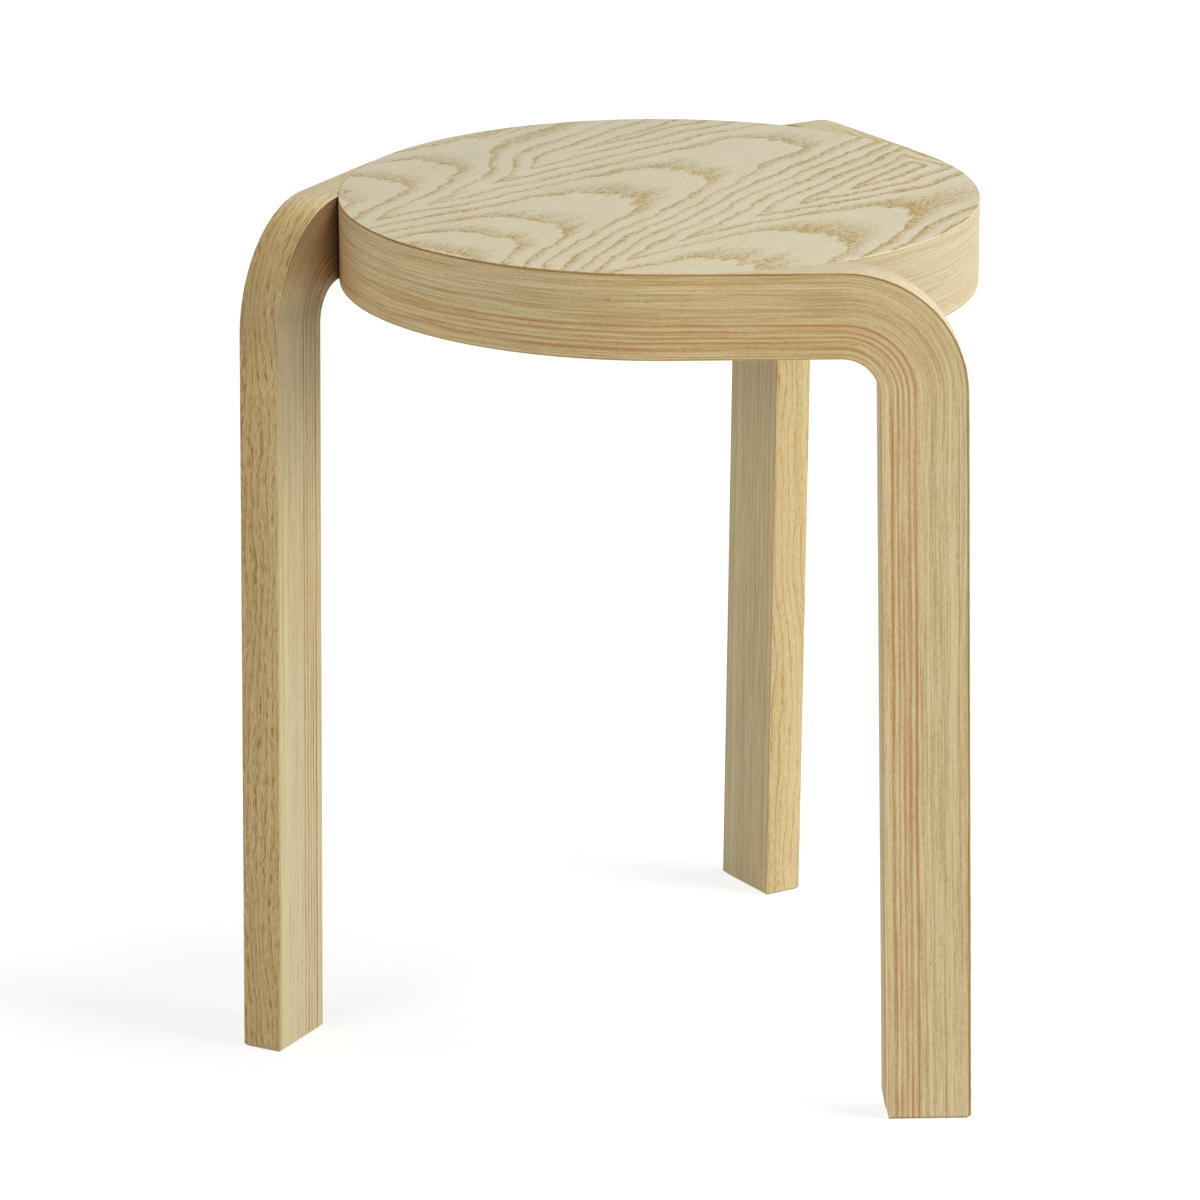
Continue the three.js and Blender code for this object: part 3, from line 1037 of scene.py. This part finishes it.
def share_out_veneers(context, lay, blank, side):
    """Copies a veneer's blank to the three bends, and gives each copy its foot and finish."""
    for bend in BENDS:
        piece = copy_of(blank, f"{side}_veneer_{bend}")
        cut_foot(lay, piece, bend)
        set_round(piece, bend)
        finish = face_finish(context.scene.stool_colours, bend, side)
        hand_over(piece, f"bend_{bend}_{side}_veneer", finish)
    bpy.data.objects.remove(blank)


class STOOL_OT_round_sheet(Operator):
    """Model the round sheet over the seat"""

    bl_idname = "stool.round_sheet"
    bl_label = "Round Sheet"

    def execute(self, context):
        sizes = context.scene.stool_sizes
        lay = Lay(sizes)
        deselect_objects()
        bpy.ops.mesh.primitive_circle_add(
            vertices=2 * sizes.rim_sides,
            radius=lay.radius,
            fill_type="NGON",
            location=(0, 0, lay.top),
        )
        sheet = context.object
        sheet.name = "round_sheet"
        bpy.ops.object.transform_apply()
        edit(sheet)
        bpy.ops.mesh.select_all(action="SELECT")
        extrude((0, 0, -sizes.face_veneer))
        face_outwards()
        select_edges(lambda a, b: min(a.z, b.z) > lay.top - FINE)
        bpy.ops.mesh.bevel(offset=sizes.edge_softness, segments=BEVEL_SEGMENTS, affect="EDGES")
        face_outwards()
        done_editing()
        set_round(sheet, 1)
        hand_over(sheet, "seat_veneer", sheet_finish(context.scene.stool_colours))
        return {"FINISHED"}


class STOOL_OT_outer_veneers(Operator):
    """Model the veneer over each leg, from beside the round sheet to the foot"""

    bl_idname = "stool.outer_veneers"
    bl_label = "Outer Veneers"

    def execute(self, context):
        sizes = context.scene.stool_sizes
        lay = Lay(sizes)
        blank = strip_blank(lay, "outer_veneer", sizes.face_veneer)
        soften(lay, blank, 0, (0, lay.leg_inner_y + lay.radius))
        lay_grain(lay, blank, along_rim=False)
        share_out_veneers(context, lay, blank, "outer")
        return {"FINISHED"}


class STOOL_OT_plies(Operator):
    """Model the fourteen plies of each bend"""

    bl_idname = "stool.plies"
    bl_label = "Plies"

    def execute(self, context):
        lay = Lay(context.scene.stool_sizes)
        colours = context.scene.stool_colours
        finishes = {
            (bend, kind): edge_finish(colours, bend, kind)
            for bend in BENDS
            for kind in ("pale", "warm")
        }
        for number, (depth, thickness) in enumerate(lay.ply_depths(), 1):
            blank = third_blank(lay, "ply", depth, thickness)
            if number in SLOTTED_PLIES:
                cut_slots(lay, blank)
            lay_grain(lay, blank, along_rim=True)
            kind = "warm" if number >= WARM_PLIES_FROM else "pale"
            for bend in BENDS:
                piece = copy_of(blank, f"ply_{bend}_{number:02d}")
                cut_foot(lay, piece, bend)
                set_round(piece, bend)
                node = f"bend_{bend}_ply_{number:02d}"
                hand_over(piece, node, finishes[bend, kind])
            bpy.data.objects.remove(blank)
        return {"FINISHED"}


class STOOL_OT_inner_veneers(Operator):
    """Model the veneer under the seat and down each leg's inner face"""

    bl_idname = "stool.inner_veneers"
    bl_label = "Inner Veneers"

    def execute(self, context):
        sizes = context.scene.stool_sizes
        lay = Lay(sizes)
        depth = lay.thickness - sizes.face_veneer
        blank = third_blank(lay, "inner_veneer", depth, sizes.face_veneer)
        soften(lay, blank, lay.thickness, (0, lay.leg_inner_y + lay.radius))
        lay_grain(lay, blank, along_rim=False)
        share_out_veneers(context, lay, blank, "inner")
        return {"FINISHED"}


class STOOL_OT_tongues(Operator):
    """Finish the loose tongues in the joints of the seat"""

    bl_idname = "stool.tongues"
    bl_label = "Tongues"

    def execute(self, context):
        finish = tongue_finish(context.scene.stool_colours)
        for bend in BENDS:
            for level in ("upper", "lower"):
                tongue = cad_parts[f"tongue_{bend}_{level}"]
                tongue.data.materials.clear()
                tongue.data.materials.append(finish)
        return {"FINISHED"}


CAMERA_TARGET = Vector((-2.897, -23.824, 223.992)) * MM
CAMERA_AZIMUTH = math.radians(-2.083)
CAMERA_ELEVATION = math.radians(17.654)
CAMERA_DISTANCE = 3.25795
SENSOR = 36.0
LENS = 189.506

FLOOR_SIZE = 16.0
FLOOR_Z = -0.1 * MM
FLOOR_GLOW = 0.8
SKY_STRENGTH = 0.12  # of the light from the sky; what the camera sees of it is plain white
# Each lamp's place in metres, side in metres and power in watts
LAMPS = {
    "low key": ((13.2, -5.98, 3.78), 6.0, 1600),
    "high key": ((5.4, -0.44, 10.4), 5.4, 652),
    "fill": ((-4.4, -4.8, 1.9), 3.2, 195),
}


def seen(finish):
    """1 for what the camera sees, straight or in a gloss, and 0 for light on the stool."""
    straight = finish.node("ShaderNodeLightPath", output="Is Camera Ray")
    return straight.most(finish.node("ShaderNodeLightPath", output="Is Glossy Ray"))


class STOOL_OT_stage(Operator):
    """Set up the floor, the light and the camera"""

    bl_idname = "stool.stage"
    bl_label = "Stage"

    def execute(self, context):
        self.set_camera(context)
        self.set_floor(context)
        self.set_world(context)
        self.set_lamps(context)
        context.scene.view_settings.view_transform = "Standard"
        return {"FINISHED"}

    def set_camera(self, context):
        away = Vector(
            (
                math.sin(CAMERA_AZIMUTH) * math.cos(CAMERA_ELEVATION),
                -math.cos(CAMERA_AZIMUTH) * math.cos(CAMERA_ELEVATION),
                math.sin(CAMERA_ELEVATION),
            )
        )
        deselect_objects()
        bpy.ops.object.camera_add(
            location=CAMERA_TARGET + away * CAMERA_DISTANCE,
            rotation=away.to_track_quat("Z", "Y").to_euler(),
        )
        camera = context.object
        camera.data.sensor_width = SENSOR
        camera.data.lens = LENS
        context.scene.camera = camera

    def set_floor(self, context):
        deselect_objects()
        bpy.ops.mesh.primitive_plane_add(size=FLOOR_SIZE, location=(0, 0, FLOOR_Z))
        floor = context.object
        floor.name = "floor"
        finish = Finish(bpy.data.materials.new("pale floor"))
        material = finish.shade(
            {
                "Base Color": context.scene.stool_colours.floor,
                "Roughness": 0.9,
                "Specular IOR Level": 0.0,
                "Emission Color": seen(finish) * FLOOR_GLOW,
                "Emission Strength": 1.0,
            }
        )
        floor.data.materials.append(material)

    def set_world(self, context):
        finish = Finish(bpy.data.worlds.new("studio"), "Background")
        strength = seen(finish) * (1 - SKY_STRENGTH) + SKY_STRENGTH
        context.scene.world = finish.shade({"Color": (1, 1, 1), "Strength": strength})

    def set_lamps(self, context):
        for name, (spot, size, power) in LAMPS.items():
            deselect_objects()
            where = Vector(spot)
            bpy.ops.object.light_add(
                type="AREA",
                location=where,
                rotation=(where - CAMERA_TARGET).to_track_quat("Z", "Y").to_euler(),
            )
            lamp = context.object
            lamp.name = name
            lamp.data.shape = "SQUARE"
            lamp.data.size = size
            lamp.data.energy = power


class STOOL_PT_panel(Panel):
    """Sizes, colours and steps of the stool"""

    bl_label = "Stacking Stool"
    bl_idname = "STOOL_PT_panel"
    bl_space_type = "VIEW_3D"
    bl_region_type = "UI"
    bl_category = "Stool"

    def draw(self, context):
        for operator in STEPS:
            self.layout.operator(operator.bl_idname)
        for group in (context.scene.stool_sizes, context.scene.stool_colours):
            box = self.layout.box()
            for name in group.__annotations__:
                box.prop(group, name)


STEPS = (
    STOOL_OT_round_sheet,
    STOOL_OT_outer_veneers,
    STOOL_OT_plies,
    STOOL_OT_inner_veneers,
    STOOL_OT_tongues,
    STOOL_OT_stage,
)
CLASSES = (StoolSizes, StoolColours, *STEPS, STOOL_PT_panel)


def register():
    for cls in CLASSES:
        bpy.utils.register_class(cls)
    bpy.types.Scene.stool_sizes = PointerProperty(type=StoolSizes)
    bpy.types.Scene.stool_colours = PointerProperty(type=StoolColours)


def unregister():
    del bpy.types.Scene.stool_colours
    del bpy.types.Scene.stool_sizes
    for cls in reversed(CLASSES):
        bpy.utils.unregister_class(cls)


def main():
    register()
    bpy.ops.stool.round_sheet()
    bpy.ops.stool.outer_veneers()
    bpy.ops.stool.plies()
    bpy.ops.stool.inner_veneers()
    bpy.ops.stool.tongues()
    bpy.ops.stool.stage()


if __name__ == "__main__":
    main()
